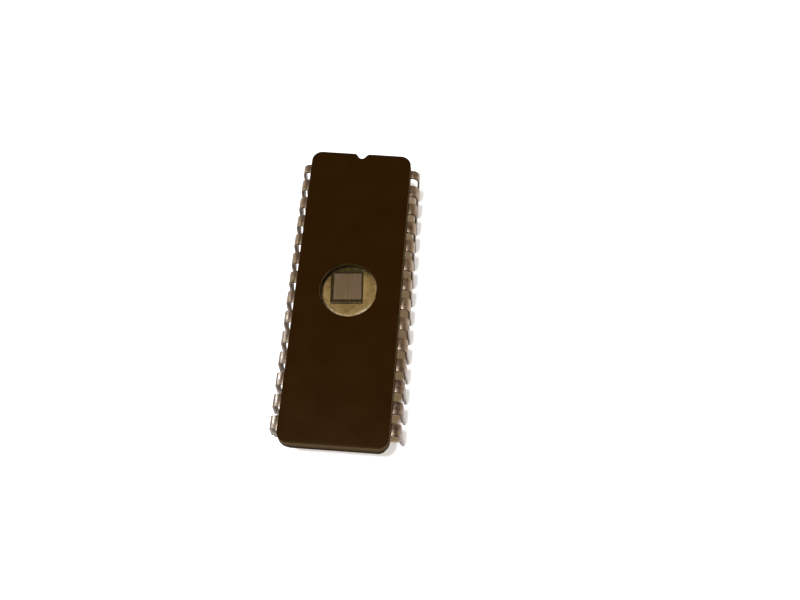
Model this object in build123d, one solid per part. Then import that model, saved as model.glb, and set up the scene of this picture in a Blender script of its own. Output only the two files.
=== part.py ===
from build123d import *
import os
from math import cos, radians, tan

# Windowed ceramic dual in-line memory chip, 28 leads in two rows 15.24 mm apart, sizes in millimetres.
# +Z is up and +Y points to the end with the index notch. The origin is under the middle of the ceramic
# outline, on the plane of the lead tips, which the chip stands on.

# Lead rows
LEADS_PER_ROW = 14
LEAD_SPACING = 2.54
LEAD_FRAME_SHIFT = 0.6
ROW_WIDTH = 14.7

# Lead strip
LEAD_THICKNESS = 0.25
SHOULDER_WIDTH = 1.5
NOTCH_END_LEAD_OUTER_HALF = 0.35
BEND_RADIUS = 0.7
TIP_WIDTH = 0.51
TIP_END_WIDTH = 0.34
TIP_POINT = 0.35
TAPER_LENGTH = 0.6

# Outward lean of the leads in degrees, at the notch end of each row and at the far end of both
SPLAY_PIN_1 = 2.0
SPLAY_PIN_28 = 0.2
SPLAY_FAR_END = 2.6

# Lead fingers inside the seal
SHOULDER_INSET = 0.75
ROOT_WIDTH = 0.8
KNEE_WIDTH = 0.45
FINGER_WIDTH = 0.32
ROOT_RUN = 0.5
FINGER_SPACING = 0.62
FINGER_SETBACK = 0.14
END_FINGER_COUNT = 5
CORNER_KNEE_RUN = 0.9
SIDE_FINGER_DROP = 1.05

# Heights: the seating plane is where the leads stop in a board
TIP_LENGTH = 3.3
STANDOFF = 1.49

# Ceramic halves, measured on the seal faces, where they are largest
CERAMIC_LENGTH = 37.2
CERAMIC_WIDTH = 12.5
CERAMIC_CORNER = 1.35
BASE_THICKNESS = 1.85
LID_THICKNESS = 1.5
BASE_DRAFT_ANGLE = 10.0
LID_DRAFT_ANGLE = 3.0
EDGE_ROUND = 0.12

# Index notch
NOTCH_WIDTH = 1.5
NOTCH_DEPTH = 0.85
NOTCH_ROOT_RADIUS = 0.35
NOTCH_SHOULDER_RADIUS = 0.3

# Die cavity in the base
CAVITY_LENGTH = 7.9
CAVITY_WIDTH = 6.6
CAVITY_DEPTH = 0.95
CAVITY_CORNER = 0.5
GOLD_THICKNESS = 0.04
GOLD_CLEARANCE = 0.02

# Lid window and the recess under it that clears the bond wires
WINDOW_DIAMETER = 6.75
WINDOW_FIT = 0.01
WINDOW_SUNK = 0.12
WINDOW_CHAMFER = 0.1
RECESS_LENGTH = 10.6
RECESS_WIDTH = 8.8
RECESS_DEPTH = 0.45
RECESS_CORNER = 1.0

# Seal glass
SEAL_THICKNESS = 0.36
SEAL_SETBACK = 0.08
LEDGE_SETBACK = 0.06

# Die
DIE_LENGTH = 4.2
DIE_WIDTH = 3.8
DIE_THICKNESS = 0.45
DIE_SHIFT_X = -0.35
DIE_SHIFT_Y = 0.95
DIE_SKEW = 4.0
ATTACH_THICKNESS = 0.03
ATTACH_MARGIN = 0.12

# Bond wires
WIRE_DIAMETER = 0.032
WIRE_RISE = 0.3
WIRE_FACETS = 6
PAD_SPACING = 0.25
PAD_INSET = 0.14
BOND_LANDING = 0.2

# Levels worked out from the sizes above
BASE_BOTTOM = TIP_LENGTH + STANDOFF
SEAL_BOTTOM = BASE_BOTTOM + BASE_THICKNESS
SEAL_TOP = SEAL_BOTTOM + SEAL_THICKNESS
LID_TOP = SEAL_TOP + LID_THICKNESS
LEAD_BOTTOM = SEAL_BOTTOM + (SEAL_THICKNESS - LEAD_THICKNESS) / 2
LEAD_TOP = LEAD_BOTTOM + LEAD_THICKNESS
SEAL_STEP = (LEAD_BOTTOM + LEAD_TOP) / 2
CAVITY_FLOOR = SEAL_BOTTOM - CAVITY_DEPTH
GOLD_TOP = CAVITY_FLOOR + GOLD_THICKNESS
DIE_BOTTOM = GOLD_TOP + ATTACH_THICKNESS
DIE_TOP = DIE_BOTTOM + DIE_THICKNESS

# Places in plan worked out from the sizes above
ROW_HALF_SPAN = LEAD_SPACING * (LEADS_PER_ROW - 1) / 2
SHOULDER_ROOT = CERAMIC_WIDTH / 2 - SHOULDER_INSET
FINGER_ROOT = SHOULDER_ROOT - ROOT_RUN
LEDGE_X = CAVITY_WIDTH / 2 + FINGER_SETBACK
LEDGE_Y = CAVITY_LENGTH / 2 + FINGER_SETBACK
DIE_FRAME = Location((DIE_SHIFT_X, DIE_SHIFT_Y, 0), (0, 0, DIE_SKEW))


def slab(outline, bottom, height):
    """Flat plate of an outline, between two levels."""
    return extrude(Pos(0, 0, bottom) * outline, amount=height)


def ceramic_outline():
    """Outline of both ceramic halves on the seal face, with the index notch's rounded root."""
    end = CERAMIC_LENGTH / 2
    mouth = NOTCH_WIDTH / 2
    notch = make_face(Polyline((-mouth, end), (0, end - NOTCH_DEPTH), (mouth, end), close=True))
    outline = RectangleRounded(CERAMIC_WIDTH, CERAMIC_LENGTH, CERAMIC_CORNER) - notch
    root = outline.vertices().sort_by_distance((0, end - NOTCH_DEPTH))[0]
    return fillet(root, NOTCH_ROOT_RADIUS)


def pressed_half(thickness, draft):
    """One pressed half lying on its seal face, drafted upwards, with rounded notch and far face."""
    half = extrude(ceramic_outline(), amount=thickness, taper=draft)
    upright = half.edges().filter_by(Plane.XY, reverse=True)
    shoulders = upright.sort_by_distance((0, CERAMIC_LENGTH / 2, thickness / 2))
    shoulders = shoulders.filter_by(lambda edge: abs(edge.center().X) > NOTCH_WIDTH / 3)[:2]
    half = fillet(shoulders, NOTCH_SHOULDER_RADIUS)
    far_face = half.faces().sort_by(Axis.Z)[-1]
    return fillet(far_face.edges(), EDGE_ROUND)


def ceramic_base():
    """Lower half, seal face up, with the die cavity sunk in it."""
    half = pressed_half(BASE_THICKNESS, BASE_DRAFT_ANGLE)
    base = Pos(0, 0, SEAL_BOTTOM) * mirror(half, about=Plane.XY)
    cavity = RectangleRounded(CAVITY_WIDTH, CAVITY_LENGTH, CAVITY_CORNER)
    return base - slab(cavity, CAVITY_FLOOR, CAVITY_DEPTH)


def ceramic_lid():
    """Upper half with the wire recess below and the round window hole."""
    lid = Pos(0, 0, SEAL_TOP) * pressed_half(LID_THICKNESS, LID_DRAFT_ANGLE)
    lid -= slab(RectangleRounded(RECESS_WIDTH, RECESS_LENGTH, RECESS_CORNER), SEAL_TOP, RECESS_DEPTH)
    lid -= slab(Circle(WINDOW_DIAMETER / 2), SEAL_TOP, LID_THICKNESS)
    mouth = lid.faces().sort_by(Axis.Z)[-1].edges().filter_by(GeomType.CIRCLE)
    rim = mouth.filter_by(lambda edge: abs(edge.radius - WINDOW_DIAMETER / 2) < WINDOW_FIT)
    return chamfer(rim, WINDOW_CHAMFER)


def window_glass():
    """Glass disc that fills the hole from the recess up to just below the lid's face."""
    bottom = SEAL_TOP + RECESS_DEPTH
    return slab(Circle(WINDOW_DIAMETER / 2 - WINDOW_FIT), bottom, LID_TOP - WINDOW_SUNK - bottom)


def cavity_gold():
    """Fired gold layer on the cavity floor."""
    inset = 2 * GOLD_CLEARANCE
    outline = RectangleRounded(CAVITY_WIDTH - inset, CAVITY_LENGTH - inset, CAVITY_CORNER - GOLD_CLEARANCE)
    return slab(outline, CAVITY_FLOOR, GOLD_THICKNESS)


def die_attach():
    """Thin layer that wets out a little past the die all round."""
    outline = Rectangle(DIE_WIDTH + 2 * ATTACH_MARGIN, DIE_LENGTH + 2 * ATTACH_MARGIN)
    return slab(DIE_FRAME * outline, GOLD_TOP, ATTACH_THICKNESS)


def die():
    """Silicon die, placed a little askew and towards the notch, as it is seen through the window."""
    return slab(DIE_FRAME * Rectangle(DIE_WIDTH, DIE_LENGTH), DIE_BOTTOM, DIE_THICKNESS)


def lead_y(place):
    """Y of a lead, counted from 0 at the notch end of its row."""
    return LEAD_FRAME_SHIFT + ROW_HALF_SPAN - LEAD_SPACING * place


def lead_splay(place, side):
    """Outward lean of a lead in degrees, which changes evenly along its row."""
    first = SPLAY_PIN_1 if side < 0 else SPLAY_PIN_28
    return first + (SPLAY_FAR_END - first) * place / (LEADS_PER_ROW - 1)


def formed_strip(splay):
    """Shoulder, bend and drop of a +X lead as one strip of full width, centred on Y = 0."""
    slope = tan(radians(splay))
    across = LEAD_THICKNESS / cos(radians(splay))
    outer_x = ROW_WIDTH / 2
    outer_tip = outer_x + LEAD_TOP * slope
    inner_x = outer_x + LEAD_THICKNESS * slope - across
    outer = FilletPolyline(
        (SHOULDER_ROOT, LEAD_TOP), (outer_x, LEAD_TOP), (outer_tip, 0), radius=BEND_RADIUS + LEAD_THICKNESS
    )
    inner = FilletPolyline(
        (SHOULDER_ROOT, LEAD_BOTTOM), (inner_x, LEAD_BOTTOM), (outer_tip - across, 0), radius=BEND_RADIUS
    )
    ends = Line((SHOULDER_ROOT, LEAD_TOP), (SHOULDER_ROOT, LEAD_BOTTOM)) + Line(
        (outer_tip, 0), (outer_tip - across, 0)
    )
    return extrude(make_face(Plane.XZ * (outer + inner + ends)), amount=SHOULDER_WIDTH / 2, both=True)


def strip_mask(notch_half):
    """Block with the stamped outline of a lead seen along X: shoulder, taper, tip and its point."""
    high = LID_TOP
    low = TIP_LENGTH - TAPER_LENGTH
    far_half = SHOULDER_WIDTH / 2
    tip = TIP_WIDTH / 2
    point = TIP_END_WIDTH / 2
    outline = Polyline(
        (-far_half, high), (-far_half, TIP_LENGTH), (-tip, low), (-tip, TIP_POINT), (-point, 0),
        (point, 0), (tip, TIP_POINT), (tip, low), (notch_half, TIP_LENGTH), (notch_half, high),
        close=True,
    )
    return extrude(make_face(Plane.YZ * outline), amount=ROW_WIDTH)


def finger_route(place, row_y):
    """Middle line of a +X finger in plan, from its root to its tip at the cavity ledge.

    The fingers of the package's end half fan to the end of the cavity, the next one to its corner and
    the last one to its side. place counts from 0 at the package's end, and row_y is positive.
    """
    root = Vector(SHOULDER_ROOT, row_y)
    knee = Vector(FINGER_ROOT, row_y)
    if place < END_FINGER_COUNT:
        x = FINGER_SPACING * (place + 0.5)
        turn = Vector(x, LEDGE_Y + CORNER_KNEE_RUN + FINGER_WIDTH * (END_FINGER_COUNT - place))
        tip = Vector(x, LEDGE_Y)
    elif place == END_FINGER_COUNT:
        tip = Vector(LEDGE_X, LEDGE_Y)
        turn = tip + Vector(CORNER_KNEE_RUN, CORNER_KNEE_RUN / 2)
    else:
        tip = Vector(LEDGE_X, LEDGE_Y - SIDE_FINGER_DROP)
        turn = tip + Vector(CORNER_KNEE_RUN, 0)
    return [root, knee, turn, tip]


def tapered_track(points, widths):
    """Flat outline that follows the points and is as wide at each as its width says."""
    left = []
    right = []
    for index, point in enumerate(points):
        before = points[max(index - 1, 0)]
        after = points[min(index + 1, len(points) - 1)]
        across = (after - before).normalized().rotate(Axis.Z, 90) * (widths[index] / 2)
        left.append(point + across)
        right.append(point - across)
    return make_face(Polyline(*left, *reversed(right), close=True))


def finger_points(place):
    """Route of a +X finger for a lead counted from the notch end, folded over for the far half."""
    if place < LEADS_PER_ROW // 2:
        return finger_route(place, lead_y(place))
    route = finger_route(LEADS_PER_ROW - 1 - place, -lead_y(place))
    return [Vector(point.X, -point.Y) for point in route]


def finger(place):
    """Inner finger of a +X lead, down the middle of the seal glass."""
    widths = [ROOT_WIDTH, ROOT_WIDTH, KNEE_WIDTH, FINGER_WIDTH]
    return slab(tapered_track(finger_points(place), widths), LEAD_BOTTOM, LEAD_THICKNESS)


def lead(place, side):
    """One whole lead, stamped and formed from a single strip. side is -1 for the -X row and 1 for +X."""
    notch_half = NOTCH_END_LEAD_OUTER_HALF if place == 0 else SHOULDER_WIDTH / 2
    strip = formed_strip(lead_splay(place, side)) & strip_mask(notch_half)
    body = Pos(0, lead_y(place), 0) * strip + finger(place)
    return body if side > 0 else mirror(body, about=Plane.YZ)


def seal_glass(leads):
    """Fused ring of seal glass between the halves, open over the wire landings and cut by the leads."""
    outline = offset(ceramic_outline(), -SEAL_SETBACK)
    ledge = 2 * LEDGE_SETBACK
    well = RectangleRounded(CAVITY_WIDTH + ledge, CAVITY_LENGTH + ledge, CAVITY_CORNER + LEDGE_SETBACK)
    recess = RectangleRounded(RECESS_WIDTH, RECESS_LENGTH, RECESS_CORNER)
    lower = slab(outline - well, SEAL_BOTTOM, SEAL_STEP - SEAL_BOTTOM)
    upper = slab(outline - recess, SEAL_STEP, SEAL_TOP - SEAL_STEP)
    return (lower + upper) - leads


def bond_wire(pad, landing):
    """Wire in one arc from a pad on the die to the top of a finger, its section kept to a few flats."""
    radius = WIRE_DIAMETER / 2
    start = Vector(pad.X, pad.Y, DIE_TOP + radius)
    end = Vector(landing.X, landing.Y, LEAD_TOP + radius)
    crown = (start + end) / 2 + Vector(0, 0, WIRE_RISE)
    path = ThreePointArc(start, crown, end)
    return sweep(Plane(origin=start, z_dir=path % 0) * RegularPolygon(radius, WIRE_FACETS), path=path)


def bond_wires(end):
    """Wires from the pads along one end of the die. end is 1 at the notch and -1 at the other end."""
    wires = []
    half_row = LEADS_PER_ROW // 2
    for side in (-1, 1):
        for count in range(half_row):
            pad_x = side * PAD_SPACING * (count + 0.5)
            pad = (DIE_FRAME * Pos(pad_x, end * (DIE_LENGTH / 2 - PAD_INSET))).position
            place = count if end > 0 else LEADS_PER_ROW - 1 - count
            route = finger_points(place)
            inward = (route[-2] - route[-1]).normalized() * BOND_LANDING
            landing = route[-1] + inward
            wires.append(bond_wire(pad, Vector(side * landing.X, landing.Y)))
    return Compound(children=wires)


def pin_number(place, side):
    """Pin number: 1 to 14 down the -X row from the notch, then 15 to 28 back up the +X row."""
    return place + 1 if side < 0 else 2 * LEADS_PER_ROW - place


leads = {
    f"lead_{pin_number(place, side):02d}": lead(place, side)
    for side in (-1, 1)
    for place in range(LEADS_PER_ROW)
}

parts = {
    "ceramic_base": ceramic_base(),
    "ceramic_lid": ceramic_lid(),
    "window_glass": window_glass(),
    "seal_glass": seal_glass(list(leads.values())),
    "cavity_gold": cavity_gold(),
    "die_attach": die_attach(),
    "die": die(),
    "bond_wires_notch_end": bond_wires(1),
    "bond_wires_far_end": bond_wires(-1),
    **leads,
}

os.makedirs("parts", exist_ok=True)
for name, shape in parts.items():
    export_step(shape, f"parts/{name}.step")
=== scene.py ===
import bpy
from math import atan2, hypot, radians
from mathutils import Matrix, Vector


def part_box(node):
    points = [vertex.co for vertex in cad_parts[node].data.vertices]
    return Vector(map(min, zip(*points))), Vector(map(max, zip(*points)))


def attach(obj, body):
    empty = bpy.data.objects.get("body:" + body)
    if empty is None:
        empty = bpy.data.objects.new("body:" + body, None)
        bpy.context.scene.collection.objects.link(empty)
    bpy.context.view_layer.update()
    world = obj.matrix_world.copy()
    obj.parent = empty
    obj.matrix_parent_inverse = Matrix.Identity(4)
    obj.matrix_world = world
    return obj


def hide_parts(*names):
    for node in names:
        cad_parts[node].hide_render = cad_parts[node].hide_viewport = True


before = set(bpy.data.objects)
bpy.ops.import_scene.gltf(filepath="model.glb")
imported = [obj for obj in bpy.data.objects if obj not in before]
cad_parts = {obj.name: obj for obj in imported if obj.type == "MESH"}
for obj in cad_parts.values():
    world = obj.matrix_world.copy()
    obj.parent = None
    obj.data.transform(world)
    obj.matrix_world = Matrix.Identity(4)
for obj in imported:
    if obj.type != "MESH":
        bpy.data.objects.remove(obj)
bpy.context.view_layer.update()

mm = 0.001


# Ceramic base
# The lower slab, pressed with its die cavity from dark brown alumina powder and fired: drafted sides and a
# fine matt skin with tiny pits. The lid is of the same alumina. The outer sides are painted paler, most near
# the top, as painted light; the wall of the window's hole is painted pale as painted light, and darker
# towards the notch as painted shade.
MERGE = 0.0005 * mm
SMOOTH_ANGLE = radians(30)
GRAIN_SIZE = 0.05 * mm
SPECK_SIZE = 0.11 * mm
CLOUD_SIZE = 3.0 * mm
PIT_DEPTH = 0.004 * mm
OUTER_X = 5.4 * mm
OUTER_Y = 17.4 * mm
OUTER_BLEND = 0.3 * mm
PALE_LOW = 7.0 * mm
PALE_HIGH = 8.0 * mm
HOLE_WALL_REACH = 3.4 * mm
SHADED_WALL = 1.2 * mm
SHADED_WALL_BLEND = 1.4 * mm
FLAT_ANGLE = radians(0.5)


def use_only(piece):
    """Makes one piece the only one that operators act on."""
    if bpy.context.object and bpy.context.object.mode == "EDIT":
        bpy.ops.object.mode_set(mode="OBJECT")
    bpy.ops.object.select_all(action="DESELECT")
    piece.select_set(True)
    bpy.context.view_layer.objects.active = piece


def solid_copy(node, name):
    """New piece with the form of a CAD node, its loose triangles merged into whole faces."""
    piece = bpy.data.objects.new(name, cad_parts[node].data.copy())
    piece.data.name = name
    piece.data.materials.clear()
    bpy.context.scene.collection.objects.link(piece)
    use_only(piece)
    bpy.ops.object.mode_set(mode="EDIT")
    bpy.ops.mesh.select_all(action="SELECT")
    bpy.ops.mesh.remove_doubles(threshold=MERGE)
    bpy.ops.mesh.customdata_custom_splitnormals_clear()
    bpy.ops.mesh.dissolve_limited(angle_limit=FLAT_ANGLE)
    bpy.ops.object.mode_set(mode="OBJECT")
    return piece


def finish_piece(piece, material, slot, *nodes):
    """Gives a new piece its material and its place in the frame."""
    piece.data.materials.clear()
    piece.data.materials.append(material)
    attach(piece, "root")
    if nodes:
        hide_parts(*nodes)


def new_material(name, **sockets):
    """Material with one shader, whose even values are set on the shader's own sockets."""
    material = bpy.data.materials.new(name)
    material.use_nodes = True
    shader = material.node_tree.nodes["Principled BSDF"]
    for socket, value in sockets.items():
        shader.inputs[socket.replace("_", " ")].default_value = value
    return material, material.node_tree, shader


def new_group(name, outputs):
    """Empty shader node group that takes a place and puts out named values."""
    group = bpy.data.node_groups.new(name, "ShaderNodeTree")
    group.interface.new_socket("Place", in_out="INPUT", socket_type="NodeSocketVector")
    for label in outputs:
        group.interface.new_socket(label, in_out="OUTPUT", socket_type="NodeSocketFloat")
    return group, group.nodes.new("NodeGroupInput"), group.nodes.new("NodeGroupOutput")


def place_group(tree, group, place):
    """Puts a node group into a material at a place."""
    node = tree.nodes.new("ShaderNodeGroup")
    node.node_tree = group
    tree.links.new(place, node.inputs["Place"])
    return node


def object_place(tree):
    """Object coordinates, in metres."""
    return tree.nodes.new("ShaderNodeTexCoord").outputs["Object"]


def axes(tree, vector):
    """X, Y and Z of a vector."""
    split = tree.nodes.new("ShaderNodeSeparateXYZ")
    tree.links.new(vector, split.inputs["Vector"])
    return split.outputs


def facing(tree):
    """How far the surface faces along X, Y and Z, each without its sign."""
    normal = tree.nodes.new("ShaderNodeTexCoord").outputs["Normal"]
    positive = tree.nodes.new("ShaderNodeVectorMath")
    positive.operation = "ABSOLUTE"
    tree.links.new(normal, positive.inputs[0])
    return axes(tree, positive.outputs["Vector"])


def stretched(tree, place, x=1.0, y=1.0, z=1.0):
    """Place scaled along each axis: under 1 draws a pattern out along it."""
    node = tree.nodes.new("ShaderNodeMapping")
    node.inputs["Scale"].default_value = (x, y, z)
    tree.links.new(place, node.inputs["Vector"])
    return node.outputs["Vector"]


def noise(tree, place, size, detail=2.0, roughness=0.5):
    """Noise whose grains are about one size across."""
    node = tree.nodes.new("ShaderNodeTexNoise")
    node.inputs["Scale"].default_value = 1 / size
    node.inputs["Detail"].default_value = detail
    node.inputs["Roughness"].default_value = roughness
    tree.links.new(place, node.inputs["Vector"])
    return node.outputs["Fac"]


def ramp(tree, value, low, high, to_low=0.0, to_high=1.0):
    """Spreads a range of a value over another range, clamped at its ends."""
    node = tree.nodes.new("ShaderNodeMapRange")
    for label, number in (("From Min", low), ("From Max", high), ("To Min", to_low), ("To Max", to_high)):
        node.inputs[label].default_value = number
    tree.links.new(value, node.inputs["Value"])
    return node.outputs["Result"]


def blend_colour(tree, mask, first, second):
    """Mixes two colours, each a value or a socket, by a mask."""
    node = tree.nodes.new("ShaderNodeMix")
    node.data_type = "RGBA"
    tree.links.new(mask, node.inputs["Factor"])
    for label, colour in (("A", first), ("B", second)):
        socket = next(s for s in node.inputs if s.name == label and s.type == "RGBA")
        if isinstance(colour, tuple):
            socket.default_value = (*colour, 1.0)
        else:
            tree.links.new(colour, socket)
    return next(s for s in node.outputs if s.type == "RGBA")


def arithmetic(tree, operation, first, second):
    """Math node on two values, each a number or a socket."""
    node = tree.nodes.new("ShaderNodeMath")
    node.operation = operation
    for socket, value in zip(node.inputs, (first, second)):
        if isinstance(value, (int, float)):
            socket.default_value = value
        else:
            tree.links.new(value, socket)
    return node.outputs["Value"]


def product(tree, *values):
    """All of several values multiplied together."""
    result = values[0]
    for value in values[1:]:
        result = arithmetic(tree, "MULTIPLY", result, value)
    return result


def unsigned(tree, value):
    """A value without its sign."""
    return arithmetic(tree, "ABSOLUTE", value, 0.0)


def fading(tree, value, start, end):
    """Ramp that falls from 1 at the start to 0 at the end."""
    return ramp(tree, value, start, end, 1.0, 0.0)


def bump(tree, shader, height, distance):
    """Feeds a height to a shader's normal."""
    node = tree.nodes.new("ShaderNodeBump")
    node.inputs["Distance"].default_value = distance
    node.inputs["Strength"].default_value = 1.0
    tree.links.new(height, node.inputs["Height"])
    tree.links.new(node.outputs["Normal"], shader.inputs["Normal"])


grain_group, grain_in, grain_out = new_group("fired grain", ("Cloud", "Speck", "Height"))
cloud = noise(grain_group, grain_in.outputs["Place"], CLOUD_SIZE, 4.0)
speck = noise(grain_group, grain_in.outputs["Place"], SPECK_SIZE, 2.0, 0.6)
pits = noise(grain_group, grain_in.outputs["Place"], GRAIN_SIZE, 3.0, 0.7)
grain_group.links.new(ramp(grain_group, cloud, 0.3, 0.7), grain_out.inputs["Cloud"])
grain_group.links.new(ramp(grain_group, speck, 0.6, 0.78), grain_out.inputs["Speck"])
grain_group.links.new(pits, grain_out.inputs["Height"])

alumina, tree, shader = new_material("brown alumina", Specular_IOR_Level=0.06)
shader.inputs["Specular Tint"].default_value = (1.0, 0.7, 0.35, 1.0)
place = object_place(tree)
grain = place_group(tree, grain_group, place)
brown = blend_colour(tree, grain.outputs["Cloud"], (0.0185, 0.0068, 0.0007), (0.0215, 0.0086, 0.0010))
brown = blend_colour(tree, grain.outputs["Speck"], brown, (0.028, 0.0135, 0.004))
plan = axes(tree, place)
outer = arithmetic(
    tree, "MAXIMUM",
    ramp(tree, unsigned(tree, plan["X"]), OUTER_X, OUTER_X + OUTER_BLEND),
    ramp(tree, unsigned(tree, plan["Y"]), OUTER_Y, OUTER_Y + OUTER_BLEND),
)
upward = facing(tree)["Z"]
pressed_side = fading(tree, upward, 0.25, 0.85)
# Painted light: the outer sides are coloured paler, most near the top.
side_painted_light = product(tree, pressed_side, outer, ramp(tree, plan["Z"], PALE_LOW, PALE_HIGH, 0.2, 1.0))
brown = blend_colour(tree, side_painted_light, brown, (0.10, 0.068, 0.029))
squares = arithmetic(tree, "ADD", product(tree, plan["X"], plan["X"]), product(tree, plan["Y"], plan["Y"]))
from_hole = arithmetic(tree, "SQRT", squares, 0.0)
# Painted light: the wall of the window's hole is coloured pale.
hole_wall_painted_light = product(
    tree, fading(tree, from_hole, HOLE_WALL_REACH, HOLE_WALL_REACH + OUTER_BLEND), fading(tree, upward, 0.25, 0.5)
)
hole_wall_light_colour = blend_colour(tree, grain.outputs["Cloud"], (0.20, 0.14, 0.05), (0.62, 0.47, 0.26))
# Painted shade: that wall is coloured darker towards the notch.
in_shade = ramp(tree, plan["Y"], SHADED_WALL, SHADED_WALL + SHADED_WALL_BLEND)
hole_wall_light_colour = blend_colour(tree, in_shade, hole_wall_light_colour, (0.075, 0.055, 0.014))
brown = blend_colour(tree, hole_wall_painted_light, brown, hole_wall_light_colour)
tree.links.new(brown, shader.inputs["Base Color"])
skin = ramp(tree, grain.outputs["Cloud"], 0, 1, 0.28, 0.34)
tree.links.new(arithmetic(tree, "ADD", skin, product(tree, pressed_side, 0.55)), shader.inputs["Roughness"])
bump(tree, shader, grain.outputs["Height"], PIT_DEPTH)

base = solid_copy("ceramic_base", "ceramic_base_pressed")
bpy.ops.object.shade_smooth_by_angle(angle=SMOOTH_ANGLE)
finish_piece(base, alumina, "brown_ceramic", "ceramic_base")


# Cavity gold and die attach
# Gold paste brushed on the cavity floor and fired, grainy and uneven. It is painted dark olive towards the
# notch as painted shade, and pale round its near rim as painted light, a highlight from the window's rim.
# The alloy that wets out round the die is of the same colour.
BRUSH_DRAW = 0.12
SHADE_SLANT = 0.25
SHADE_START = 2.2 * mm
SHADE_BLEND = 0.9 * mm
HIGHLIGHT_MIDDLE = (-0.18 * mm, 0.74 * mm, 5.73 * mm)
HIGHLIGHT_RADIUS = 3.08 * mm
HIGHLIGHT_BLEND = 0.2 * mm
HIGHLIGHT_SLANT = 0.4
HIGHLIGHT_FULL = -1.2 * mm
HIGHLIGHT_GONE = 0.4 * mm
HIGHLIGHT_THIN = 0.5 * mm
HIGHLIGHT_THICK = 1.8 * mm
BRUSH_GRAIN = 0.09 * mm
SMEAR_SIZE = 0.7 * mm
BLOT_SIZE = 0.3 * mm
PATCH_SIZE = 0.35 * mm
BRUSH_DEPTH = 0.012 * mm


def coat(material, *nodes):
    """Gives CAD nodes that keep their form their material."""
    for node in nodes:
        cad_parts[node].data.materials.clear()
        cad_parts[node].data.materials.append(material)


gold, tree, shader = new_material("fired gold", Metallic=1.0)
place = object_place(tree)
grain = place_group(tree, grain_group, place)
brushed = noise(tree, stretched(tree, place, x=BRUSH_DRAW), BRUSH_GRAIN, 3.0, 0.6)
smear = noise(tree, stretched(tree, place, y=0.6), SMEAR_SIZE, 3.0, 0.55)
gold_colour = blend_colour(tree, ramp(tree, smear, 0.35, 0.65), (0.225, 0.137, 0.042), (0.36, 0.22, 0.085))
gold_colour = blend_colour(tree, ramp(tree, brushed, 0.45, 0.75), gold_colour, (0.44, 0.28, 0.13))
gold_colour = blend_colour(tree, grain.outputs["Speck"], gold_colour, (0.16, 0.09, 0.025))
plan = axes(tree, place)
# Painted shade: the gold turns dark olive towards the notch, where the lid and wires shade it.
to_notch = arithmetic(tree, "SUBTRACT", plan["Y"], product(tree, plan["X"], SHADE_SLANT))
notch_painted_shade = ramp(tree, to_notch, SHADE_START, SHADE_START + SHADE_BLEND)
blots = noise(tree, place, BLOT_SIZE, 2.0)
notch_painted_shade = product(tree, notch_painted_shade, ramp(tree, blots, 0.52, 0.62, 1.0, 0.45))
gold_colour = blend_colour(tree, notch_painted_shade, gold_colour, (0.085, 0.055, 0.013))
# Painted light: the gold is coloured pale round the window's near rim, a painted highlight that also lightens
# the rim's shade on the left.
to_left = arithmetic(tree, "ADD", plan["Y"], product(tree, plan["X"], HIGHLIGHT_SLANT))
from_highlight = tree.nodes.new("ShaderNodeVectorMath")
from_highlight.operation = "DISTANCE"
from_highlight.inputs[1].default_value = HIGHLIGHT_MIDDLE
tree.links.new(place, from_highlight.inputs[0])
patchy = noise(tree, place, PATCH_SIZE, 3.0, 0.6)
rim_painted_highlight = product(
    tree,
    ramp(tree, from_highlight.outputs["Value"], HIGHLIGHT_RADIUS, HIGHLIGHT_RADIUS + HIGHLIGHT_BLEND),
    fading(tree, to_left, HIGHLIGHT_FULL, HIGHLIGHT_GONE),
    ramp(tree, unsigned(tree, plan["X"]), HIGHLIGHT_THIN, HIGHLIGHT_THICK, 0.35, 1.0),
    ramp(tree, patchy, 0.42, 0.56, 0.15, 1.0),
)
gold_colour = blend_colour(tree, rim_painted_highlight, gold_colour, (0.80, 0.62, 0.42))
tree.links.new(gold_colour, shader.inputs["Base Color"])
tree.links.new(ramp(tree, smear, 0.3, 0.7, 0.30, 0.38), shader.inputs["Roughness"])
bump(tree, shader, arithmetic(tree, "ADD", grain.outputs["Height"], brushed), BRUSH_DEPTH)
coat(gold, "cavity_gold", "die_attach")


# Die
# A chip of silicon under clear glass: the memory in two blocks with its column circuits between them,
# darker row circuits down the left side, and pads along both ends. Bright flecks along the far end are
# painted glints, and the sawn sides are coloured lighter as painted light.
DIE_MIDDLE = Vector((-0.35 * mm, 0.95 * mm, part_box("die")[1][2]))
DIE_SKEW = radians(4)
ARRAY_LEFT = -1.5 * mm
ARRAY_RIGHT = 1.76 * mm
ARRAY_LOW = -1.62 * mm
ARRAY_HIGH = 1.72 * mm
SPINE = 0.25 * mm
SPINE_HALF = 0.035 * mm
ROW_PITCH = 0.06 * mm
DIE_GLINTS_LOW = -1.98 * mm
EDGE_BLUR = 0.02 * mm
BLOCK_SIZE = 0.16 * mm
TONE_SIZE = 2.2 * mm
STREAK_SIZE = 0.35 * mm
DIE_GLINT_SIZE = 0.11 * mm
CIRCUIT_DEPTH = 0.0004 * mm

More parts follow.
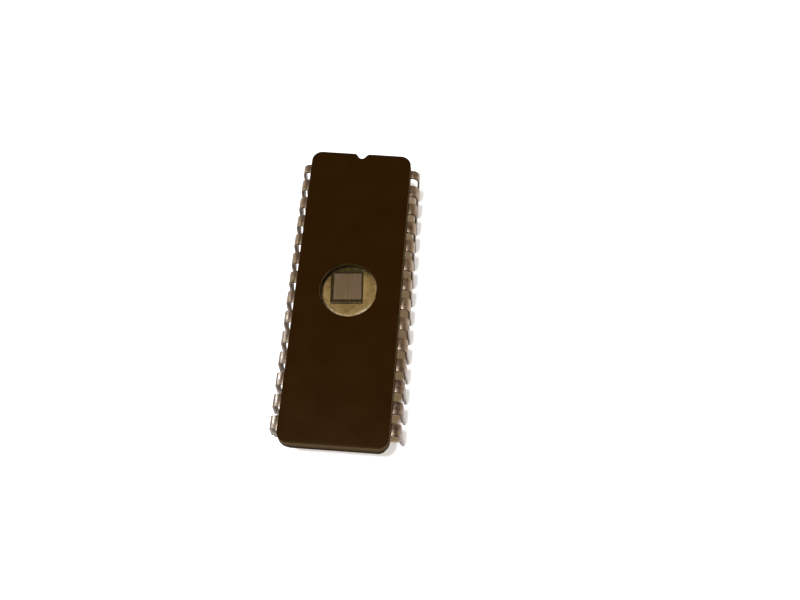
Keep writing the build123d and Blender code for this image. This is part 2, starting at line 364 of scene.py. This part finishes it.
silicon, tree, shader = new_material("silicon die", Metallic=0.5, Specular_IOR_Level=0.08)
shader.inputs["Specular Tint"].default_value = (1.0, 0.85, 0.65, 1.0)
chip = tree.nodes.new("ShaderNodeMapping")
chip.vector_type = "TEXTURE"
chip.inputs["Location"].default_value = (DIE_MIDDLE.x, DIE_MIDDLE.y, 0)
chip.inputs["Rotation"].default_value = (0, 0, DIE_SKEW)
tree.links.new(object_place(tree), chip.inputs["Vector"])
chip_axes = axes(tree, chip.outputs["Vector"])
across = chip_axes["X"]
along = chip_axes["Y"]
inside = product(
    tree,
    ramp(tree, across, ARRAY_LEFT - EDGE_BLUR, ARRAY_LEFT + EDGE_BLUR),
    fading(tree, across, ARRAY_RIGHT - EDGE_BLUR, ARRAY_RIGHT + EDGE_BLUR),
    ramp(tree, along, ARRAY_LOW - EDGE_BLUR, ARRAY_LOW + EDGE_BLUR),
    fading(tree, along, ARRAY_HIGH - EDGE_BLUR, ARRAY_HIGH + EDGE_BLUR),
)
from_spine = unsigned(tree, arithmetic(tree, "SUBTRACT", across, SPINE))
spine = fading(tree, from_spine, SPINE_HALF, SPINE_HALF * 1.4)
rows = arithmetic(tree, "PINGPONG", along, ROW_PITCH / 2)
rows = ramp(tree, rows, 0.0, ROW_PITCH / 2)
blocks = noise(tree, stretched(tree, chip.outputs["Vector"], y=0.5), BLOCK_SIZE, 1.0)
drift = noise(tree, chip.outputs["Vector"], TONE_SIZE, 1.0)
array_colour = blend_colour(tree, rows, (0.21, 0.135, 0.073), (0.26, 0.168, 0.093))
array_colour = blend_colour(tree, ramp(tree, drift, 0.4, 0.6), array_colour, (0.245, 0.155, 0.103))
streaks = noise(tree, stretched(tree, chip.outputs["Vector"], y=0.08), STREAK_SIZE, 1.0)
array_colour = blend_colour(tree, ramp(tree, streaks, 0.55, 0.72), array_colour, (0.31, 0.21, 0.14))
array_colour = blend_colour(tree, spine, array_colour, (0.20, 0.128, 0.07))
crowded = ramp(tree, blocks, 0.42, 0.58)
border_colour = blend_colour(tree, crowded, (0.026, 0.014, 0.004), (0.065, 0.038, 0.014))
# Painted glints: bright flecks along the far end of the die stand in for light caught by the bonds and pads.
die_painted_glints = noise(tree, stretched(tree, chip.outputs["Vector"], y=0.05), DIE_GLINT_SIZE, 1.0)
die_painted_glints = product(
    tree, ramp(tree, die_painted_glints, 0.50, 0.56), fading(tree, along, DIE_GLINTS_LOW, DIE_GLINTS_LOW + EDGE_BLUR)
)
border_colour = blend_colour(tree, die_painted_glints, border_colour, (0.36, 0.25, 0.12))
chip_colour = blend_colour(tree, inside, border_colour, array_colour)
# Painted light: the sawn sides are coloured a lighter gold brown, which hides their shade.
sawn = fading(tree, facing(tree)["Z"], 0.4, 0.6)
chip_colour = blend_colour(tree, sawn, chip_colour, (0.16, 0.11, 0.05))
tree.links.new(chip_colour, shader.inputs["Base Color"])
tree.links.new(ramp(tree, inside, 0.0, 1.0, 0.6, 0.34), shader.inputs["Roughness"])
bump(tree, shader, blocks, CIRCUIT_DEPTH)
coat(silicon, "die")


# Bond pads
# Squares of aluminium along both ends of the die, sunk in windows in the clear glass, one for each wire.
# The test probes have scratched them dull; their dark colour is painted shade of the glass windows they sit
# in.
DIE_LENGTH = 4.2 * mm
PAD_SIZE = 0.13 * mm
PAD_LIP = 0.018 * mm
PAD_HEIGHT = 0.003 * mm
PAD_SPACING = 0.25 * mm
PAD_INSET = 0.14 * mm
PADS_AT_END = 14
SCRATCH_SIZE = 0.012 * mm
PROBED_SIZE = 0.03 * mm


def pad_place(count, end):
    """Middle of a pad: count runs from 0 at the -X side, end is 1 at the notch and -1 at the far end."""
    across = PAD_SPACING * (count - (PADS_AT_END - 1) / 2)
    local = Vector((across, end * (DIE_LENGTH / 2 - PAD_INSET), 0))
    return DIE_MIDDLE + Matrix.Rotation(DIE_SKEW, 3, "Z") @ local


def copy_to(pattern, name, place, turn=0.0):
    """Copy of a pattern piece with its own mesh, turned about Z and moved inside that mesh."""
    piece = bpy.data.objects.new(name, pattern.data.copy())
    piece.data.name = name
    piece.data.transform(Matrix.Translation(place) @ Matrix.Rotation(turn, 4, "Z"))
    bpy.context.scene.collection.objects.link(piece)
    return piece


def join_all(pieces, name):
    """Joins copies of one pattern into one piece."""
    bpy.ops.object.select_all(action="DESELECT")
    for piece in pieces:
        piece.select_set(True)
    bpy.context.view_layer.objects.active = pieces[0]
    bpy.ops.object.join()
    pieces[0].name = name
    pieces[0].data.name = name
    return pieces[0]


def select_faces(piece, wanted):
    """Selects the faces that a test on their middle and normal picks, ready for edit mode."""
    use_only(piece)
    for face in piece.data.polygons:
        face.select = wanted(face.center, face.normal)
    chosen = {corner for face in piece.data.polygons if face.select for corner in face.vertices}
    for vertex in piece.data.vertices:
        vertex.select = vertex.index in chosen
    for edge in piece.data.edges:
        edge.select = edge.vertices[0] in chosen and edge.vertices[1] in chosen
    bpy.ops.object.mode_set(mode="EDIT")
    bpy.ops.mesh.select_mode(type="FACE")


bpy.ops.object.select_all(action="DESELECT")
bpy.ops.mesh.primitive_cube_add(size=1)
pad_pattern = bpy.context.object
pad_pattern.data.transform(Matrix.Diagonal((PAD_SIZE, PAD_SIZE, PAD_HEIGHT, 1)))
select_faces(pad_pattern, lambda middle, normal: normal.z > 0.5)
bpy.ops.mesh.inset(thickness=PAD_LIP, depth=0)
bpy.ops.transform.translate(value=(0, 0, -PAD_HEIGHT / 2))
bpy.ops.object.mode_set(mode="OBJECT")

# Painted reflection: the aluminium is coloured warm, standing in for the gold round it reflected in the wire.
aluminium, tree, shader = new_material("aluminium painted gold reflection", Metallic=1.0)
scratched = noise(tree, stretched(tree, object_place(tree), y=0.3), SCRATCH_SIZE, 3.0, 0.6)
tree.links.new(
    blend_colour(tree, scratched, (0.20, 0.16, 0.11), (0.40, 0.35, 0.28)), shader.inputs["Base Color"]
)
tree.links.new(ramp(tree, scratched, 0.3, 0.7, 0.35, 0.5), shader.inputs["Roughness"])

# Painted shade: the pads are coloured dark, as the glass windows they sit in shade them.
pad_painted_shade, tree, shader = new_material("pad painted shade", Metallic=1.0)
probed = noise(tree, object_place(tree), PROBED_SIZE, 2.0)
tree.links.new(
    blend_colour(tree, ramp(tree, probed, 0.4, 0.6), (0.06, 0.042, 0.02), (0.16, 0.115, 0.065)),
    shader.inputs["Base Color"],
)
tree.links.new(ramp(tree, probed, 0.3, 0.7, 0.5, 0.65), shader.inputs["Roughness"])
pads = [
    copy_to(pad_pattern, f"pad_{end}_{count}", pad_place(count, end), DIE_SKEW)
    for end in (-1, 1)
    for count in range(PADS_AT_END)
]
bpy.data.objects.remove(pad_pattern)
finish_piece(join_all(pads, "die_pads"), pad_painted_shade, "bond_wire")


# Leads
# Strip of nickel-iron, stamped, plated with tin and bent down. The tin has dulled to a warm brown grey with
# stains and is dark on the sheared edges. Away from the notch, the right-hand leads are darker in streaks.
# The left-hand leads are darkened as painted shade, and their bends away from the notch carry a painted
# highlight and are a little smoother.
EDGE_BREAK = 0.03 * mm
EDGE_ANGLE = radians(40)
BEND_SMOOTH_ANGLE = radians(50)
ROLLED_LINE = 0.03 * mm
ROLLED_DEPTH = 0.002 * mm
DARKER_START = -5.0 * mm
DARKER_BLEND = 5.0 * mm
BEND_HIGHLIGHT_FROM = -11.0 * mm
BEND_HIGHLIGHT_TO = 1.0 * mm
SIDE_BLEND = 1.0 * mm
STAIN_SIZE = 0.7 * mm
DULLING_SIZE = 2.6 * mm
DARK_STREAK_SIZE = 0.45 * mm

tin, tree, shader = new_material("dulled tin", Metallic=0.9)
place = object_place(tree)
grain = place_group(tree, grain_group, place)
turned = facing(tree)
rolled = noise(tree, stretched(tree, place, x=0.08, z=0.08), ROLLED_LINE, 2.0)
stain = noise(tree, place, STAIN_SIZE, 4.0, 0.6)
drift = noise(tree, stretched(tree, place, y=0.4), DULLING_SIZE, 2.0)
tin_colour = blend_colour(tree, ramp(tree, drift, 0.35, 0.65), (0.23, 0.155, 0.095), (0.33, 0.238, 0.155))
tin_colour = blend_colour(tree, ramp(tree, rolled, 0.4, 0.75), tin_colour, (0.37, 0.275, 0.19))
tin_colour = blend_colour(tree, ramp(tree, stain, 0.55, 0.68), tin_colour, (0.12, 0.07, 0.04))
sheared = ramp(tree, turned["Y"], 0.55, 0.8)
tin_colour = blend_colour(tree, sheared, tin_colour, (0.09, 0.058, 0.038))
plan = axes(tree, place)
on_right = ramp(tree, plan["X"], -SIDE_BLEND, SIDE_BLEND)
on_left = fading(tree, on_right, 0.0, 1.0)
# The right-hand leads are coloured darker in streaks away from the notch.
far_right = product(tree, on_right, fading(tree, plan["Y"], DARKER_START - DARKER_BLEND, DARKER_START))
streaked = noise(tree, stretched(tree, place, x=0.5, z=0.5), DARK_STREAK_SIZE, 3.0, 0.6)
far_right_darker = product(tree, far_right, ramp(tree, streaked, 0.44, 0.56, 0.35, 0.9))
tin_colour = blend_colour(tree, far_right_darker, tin_colour, (0.10, 0.062, 0.045))
# Painted shade: the left-hand leads are coloured darker all over.
tin_colour = blend_colour(tree, product(tree, on_left, 0.5), tin_colour, (0.11, 0.078, 0.05))
bend = product(tree, ramp(tree, turned["Z"], 0.70, 0.78), fading(tree, turned["Z"], 0.92, 0.97))
far_left = product(tree, on_left, fading(tree, plan["Y"], BEND_HIGHLIGHT_FROM, BEND_HIGHLIGHT_TO))
# Painted highlight: a near-white band on the left-hand bends away from the notch, where a glint would fall;
# the same mask makes them a little smoother.
bend_highlight_and_polish = product(tree, bend, far_left, ramp(tree, stain, 0.4, 0.6, 1.0, 0.6))
tin_colour = blend_colour(tree, bend_highlight_and_polish, tin_colour, (0.80, 0.77, 0.74))
tree.links.new(tin_colour, shader.inputs["Base Color"])
dullness = ramp(tree, stain, 0.35, 0.65, 0.34, 0.5)
tree.links.new(
    arithmetic(tree, "SUBTRACT", dullness, product(tree, bend_highlight_and_polish, 0.1)), shader.inputs["Roughness"]
)
bump(tree, shader, arithmetic(tree, "ADD", grain.outputs["Height"], rolled), ROLLED_DEPTH)

for pin in range(1, 29):
    node = f"lead_{pin:02d}"
    lead = solid_copy(node, f"{node}_plated")
    edge_break = lead.modifiers.new("edge break", "BEVEL")
    edge_break.width = EDGE_BREAK
    edge_break.segments = 2
    edge_break.limit_method = "ANGLE"
    edge_break.angle_limit = EDGE_ANGLE
    bpy.ops.object.modifier_apply(modifier=edge_break.name)
    bpy.ops.object.shade_smooth_by_angle(angle=BEND_SMOOTH_ANGLE)
    finish_piece(lead, tin, "tinned_lead", node)


# Seal glass
# A dark grey frit of lead and zinc borate, screened on both halves and melted round the lead frame. It
# shows as a thin glassy line between the halves.
FRIT_DEPTH = 0.006 * mm

frit, tree, shader = new_material("seal frit", Specular_IOR_Level=0.15)
grain = place_group(tree, grain_group, object_place(tree))
frit_colour = blend_colour(tree, grain.outputs["Cloud"], (0.026, 0.020, 0.012), (0.050, 0.040, 0.022))
frit_colour = blend_colour(tree, grain.outputs["Speck"], frit_colour, (0.09, 0.075, 0.05))
tree.links.new(frit_colour, shader.inputs["Base Color"])
tree.links.new(ramp(tree, grain.outputs["Cloud"], 0, 1, 0.42, 0.55), shader.inputs["Roughness"])
bump(tree, shader, grain.outputs["Height"], FRIT_DEPTH)

seal = solid_copy("seal_glass", "seal_glass_ring")
bpy.ops.object.shade_smooth_by_angle(angle=SMOOTH_ANGLE)
finish_piece(seal, frit, "seal_glass", "seal_glass")


# Bond wires and their feet
# Aluminium wire, welded by rubbing it down on each pad and on each finger, which flattens its end into
# a foot about twice as wide as the wire.
FOOT_LENGTH = 0.11 * mm
FOOT_WIDTH = 0.06 * mm
FOOT_HEIGHT = 0.018 * mm
FOOT_TOP = (0.75, 0.6, 1)
FOOT_ENDS = (1, 0.55, 1)
BOND_LANDING = 0.2 * mm
FINGER_SPACING = 0.62 * mm
FINGERS_AT_END = 5
LEDGE = Vector((3.44 * mm, 4.09 * mm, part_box("lead_01")[1][2]))
CORNER_TURN = Vector((0.9 * mm, 0.45 * mm, 0)).normalized()
SIDE_DROP = 1.05 * mm

coat(aluminium, "bond_wires_notch_end", "bond_wires_far_end")


def landing_place(rank, side, end):
    """Where a wire ends on its finger: rank counts from 0 at the middle of the package's end."""
    if rank < FINGERS_AT_END:
        local = Vector((FINGER_SPACING * (rank + 0.5), LEDGE.y + BOND_LANDING, LEDGE.z))
    elif rank == FINGERS_AT_END:
        local = LEDGE + CORNER_TURN * BOND_LANDING
    else:
        local = LEDGE + Vector((BOND_LANDING, -SIDE_DROP, 0))
    return Vector((side * local.x, end * local.y, local.z))


bpy.ops.object.select_all(action="DESELECT")
bpy.ops.mesh.primitive_cube_add(size=1)
foot_pattern = bpy.context.object
foot_pattern.data.transform(Matrix.Diagonal((FOOT_LENGTH, FOOT_WIDTH, FOOT_HEIGHT, 1)))
foot_pattern.data.transform(Matrix.Translation((0, 0, FOOT_HEIGHT / 2)))
select_faces(foot_pattern, lambda middle, normal: normal.z > 0.5)
bpy.ops.transform.resize(value=FOOT_TOP)
bpy.ops.object.mode_set(mode="OBJECT")
select_faces(foot_pattern, lambda middle, normal: abs(normal.x) > 0.5)
bpy.ops.transform.resize(value=FOOT_ENDS)
bpy.ops.mesh.select_all(action="SELECT")
bpy.ops.mesh.bevel(offset=FOOT_HEIGHT / 4, segments=2, affect="EDGES")
bpy.ops.object.mode_set(mode="OBJECT")
bpy.ops.object.shade_smooth()

feet = []
for end in (-1, 1):
    for side in (-1, 1):
        for rank in range(PADS_AT_END // 2):
            count = PADS_AT_END // 2 + (rank if side > 0 else -1 - rank)
            pad = pad_place(count, end)
            landing = landing_place(rank, side, end)
            turn = atan2(landing.y - pad.y, landing.x - pad.x)
            for which, place in (("pad", pad), ("finger", landing)):
                feet.append(copy_to(foot_pattern, f"foot_{which}_{end}_{side}_{rank}", place, turn))
bpy.data.objects.remove(foot_pattern)
finish_piece(join_all(feet, "bond_feet"), aluminium, "bond_wire")


# Ceramic lid
# The upper slab, pressed and fired as the base is, with the round window hole, whose mouth has a small
# chamfer, and the recess under it that clears the wires.
lid = solid_copy("ceramic_lid", "ceramic_lid_pressed")
bpy.ops.object.shade_smooth_by_angle(angle=SMOOTH_ANGLE)
finish_piece(lid, alumina, "brown_ceramic", "ceramic_lid")


# Window
# A disc of clear glass that lets ultraviolet light through, melted into the lid's hole, where it has wet
# the wall and climbed it a little all round. Its rim is drawn just inside the ceramic, as no air is left.
WINDOW_LOW, WINDOW_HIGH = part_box("window_glass")
RIM_IN_CERAMIC = 0.04 * mm
WINDOW_RADIUS = WINDOW_HIGH[0] + RIM_IN_CERAMIC
WINDOW_DEPTH = WINDOW_HIGH[2] - WINDOW_LOW[2]
MENISCUS_WIDTH = 0.2 * mm
MENISCUS_RISE = 0.02 * mm
MENISCUS_RINGS = 4
MIDDLE_REACH = 0.1 * mm
RIPPLE_SIZE = 1.8 * mm
RIPPLE_DEPTH = 0.004 * mm
WINDOW_SIDES = 128

window_glass, tree, shader = new_material("window glass", Roughness=0.015, IOR=1.47, Transmission_Weight=1.0)
shader.inputs["Base Color"].default_value = (0.95, 0.96, 0.93, 1.0)
ripple = noise(tree, object_place(tree), RIPPLE_SIZE, 1.0)
bump(tree, shader, ripple, RIPPLE_DEPTH)
clear = tree.nodes.new("ShaderNodeBsdfTransparent")
clear.inputs["Color"].default_value = (0.88, 0.89, 0.86, 1.0)
paths = tree.nodes.new("ShaderNodeLightPath")
indirect = arithmetic(tree, "MAXIMUM", paths.outputs["Is Glossy Ray"], paths.outputs["Is Diffuse Ray"])
indirect = arithmetic(tree, "MAXIMUM", indirect, paths.outputs["Is Shadow Ray"])
pass_light = tree.nodes.new("ShaderNodeMixShader")
tree.links.new(indirect, pass_light.inputs["Fac"])
tree.links.new(shader.outputs["BSDF"], pass_light.inputs[1])
tree.links.new(clear.outputs["BSDF"], pass_light.inputs[2])
tree.links.new(pass_light.outputs["Shader"], tree.nodes["Material Output"].inputs["Surface"])

bpy.ops.object.select_all(action="DESELECT")
bpy.ops.mesh.primitive_cylinder_add(vertices=WINDOW_SIDES, radius=WINDOW_RADIUS, depth=WINDOW_DEPTH)
window = bpy.context.object
window.name = "window_disc"
window.data.transform(Matrix.Translation((0, 0, (WINDOW_LOW[2] + WINDOW_HIGH[2]) / 2)))
for ring in range(MENISCUS_RINGS):
    select_faces(window, lambda middle, normal: normal.z > 0.5 and hypot(middle.x, middle.y) < MIDDLE_REACH)
    bpy.ops.mesh.inset(thickness=MENISCUS_WIDTH / MENISCUS_RINGS, depth=0)
    bpy.ops.object.mode_set(mode="OBJECT")
for vertex in window.data.vertices:
    climb = (hypot(vertex.co.x, vertex.co.y) - WINDOW_RADIUS + MENISCUS_WIDTH) / MENISCUS_WIDTH
    if vertex.co.z > WINDOW_HIGH[2] - MERGE and climb > 0:
        vertex.co.z += MENISCUS_RISE * climb ** 2
use_only(window)
bpy.ops.object.shade_smooth_by_angle(angle=SMOOTH_ANGLE)
finish_piece(window, window_glass, "window_glass", "window_glass")


# Floor, backdrop and lamps
# A white sheet that keeps the chip's soft shadow. Its glow is seen by the camera, in gloss and through
# glass: round the chip it pales the shadow, under the chip it is faint and warm, and far off it is stronger
# for the camera only. The sky is white to the camera, and to gloss and glass only near the horizon.
SHEET_WIDTH = 3000 * mm
SHADE_HALF_WIDTH = 7.1 * mm
SHADE_HALF_LENGTH = 17.0 * mm
SHADE_MIDDLE = 1.5 * mm
SHEET_BLEND = 0.3 * mm
NEAR_SHEET = 60 * mm
FAR_SHEET = 400 * mm
GLOW_UNDER = 0.09
GLOW_ROUND = 0.5
GLOW_FAR = 0.6
HORIZON_LOW = 0.1
HORIZON_HIGH = 0.35
SKY_TOP = 0.85
SKY_AT_HORIZON = 0.66
SKY_OVERHEAD = 0.12

bpy.ops.object.select_all(action="DESELECT")
bpy.ops.mesh.primitive_plane_add(size=SHEET_WIDTH)
floor = bpy.context.object
floor.name = "studio_floor"
sheet, tree, shader = new_material("white sheet", Roughness=0.9)
shader.inputs["Base Color"].default_value = (0.9, 0.9, 0.9, 1.0)
paths = tree.nodes.new("ShaderNodeLightPath")
seen = arithmetic(tree, "MAXIMUM", paths.outputs["Is Camera Ray"], paths.outputs["Is Glossy Ray"])
seen = arithmetic(tree, "MAXIMUM", seen, paths.outputs["Is Transmission Ray"])
place = object_place(tree)
plan = axes(tree, place)
beside = unsigned(tree, plan["X"])
beyond = unsigned(tree, arithmetic(tree, "SUBTRACT", plan["Y"], SHADE_MIDDLE))
clear_of_chip = arithmetic(
    tree, "MAXIMUM",
    ramp(tree, beside, SHADE_HALF_WIDTH, SHADE_HALF_WIDTH + SHEET_BLEND),
    ramp(tree, beyond, SHADE_HALF_LENGTH, SHADE_HALF_LENGTH + SHEET_BLEND),
)
tree.links.new(
    blend_colour(tree, clear_of_chip, (1.0, 0.62, 0.26), (1.0, 1.0, 1.0)), shader.inputs["Emission Color"]
)
glow = product(tree, seen, ramp(tree, clear_of_chip, 0.0, 1.0, GLOW_UNDER, GLOW_ROUND))
away = tree.nodes.new("ShaderNodeVectorMath")
away.operation = "LENGTH"
tree.links.new(place, away.inputs[0])
far_off = ramp(tree, away.outputs["Value"], NEAR_SHEET, FAR_SHEET, 0.0, GLOW_FAR)
far_off = product(tree, far_off, paths.outputs["Is Camera Ray"])
tree.links.new(arithmetic(tree, "ADD", glow, far_off), shader.inputs["Emission Strength"])
floor.data.materials.append(sheet)

world = bpy.data.worlds.new("soft studio")
bpy.context.scene.world = world
world.use_nodes = True
tree = world.node_tree
height = axes(tree, tree.nodes.new("ShaderNodeTexCoord").outputs["Generated"])["Z"]
paths = tree.nodes.new("ShaderNodeLightPath")
seen = arithmetic(tree, "MAXIMUM", paths.outputs["Is Glossy Ray"], paths.outputs["Is Transmission Ray"])
backdrop = product(tree, seen, fading(tree, height, HORIZON_LOW, HORIZON_HIGH))
backdrop = arithmetic(tree, "MAXIMUM", backdrop, paths.outputs["Is Camera Ray"])
sky = ramp(tree, height, 0.0, SKY_TOP, SKY_AT_HORIZON, SKY_OVERHEAD)
sky = arithmetic(tree, "MAXIMUM", sky, backdrop)
tree.links.new(sky, tree.nodes["Background"].inputs["Strength"])
tree.links.new(
    blend_colour(tree, backdrop, (1.0, 0.76, 0.46), (1.0, 1.0, 1.0)), tree.nodes["Background"].inputs["Color"]
)


def soft_box(name, towards, distance, size, watts, colour):
    """Square lamp that faces the chip from one direction."""
    lamp = bpy.data.lights.new(name, "AREA")
    lamp.size = size
    lamp.energy = watts
    lamp.color = colour
    box = bpy.data.objects.new(name, lamp)
    box.location = Vector(towards).normalized() * distance
    box.rotation_euler = (-box.location).to_track_quat("-Z", "Y").to_euler()
    bpy.context.scene.collection.objects.link(box)


soft_box(
    "overhead", (-0.095, -0.175, 1.0), distance=1.0, size=0.08, watts=8.8, colour=(0.95, 0.99, 1.08)
)
soft_box(
    "low_left", (-0.88, 0.26, 0.32), distance=0.3, size=0.02, watts=0.09, colour=(1.0, 0.98, 0.96)
)


# Camera
# Close above the end without the notch, a little to the right, as the photograph was taken.
camera = bpy.data.cameras.new("camera")
camera.sensor_width = 36
camera.lens = 37.96
camera.clip_start = 0.005
eye = bpy.data.objects.new("camera", camera)
eye.location = (9.29 * mm, -38.67 * mm, 98.75 * mm)
eye.rotation_euler = (radians(22.76), radians(0.234), radians(4.188))
bpy.context.scene.collection.objects.link(eye)
bpy.context.scene.camera = eye

bpy.context.scene.view_settings.view_transform = "Standard"
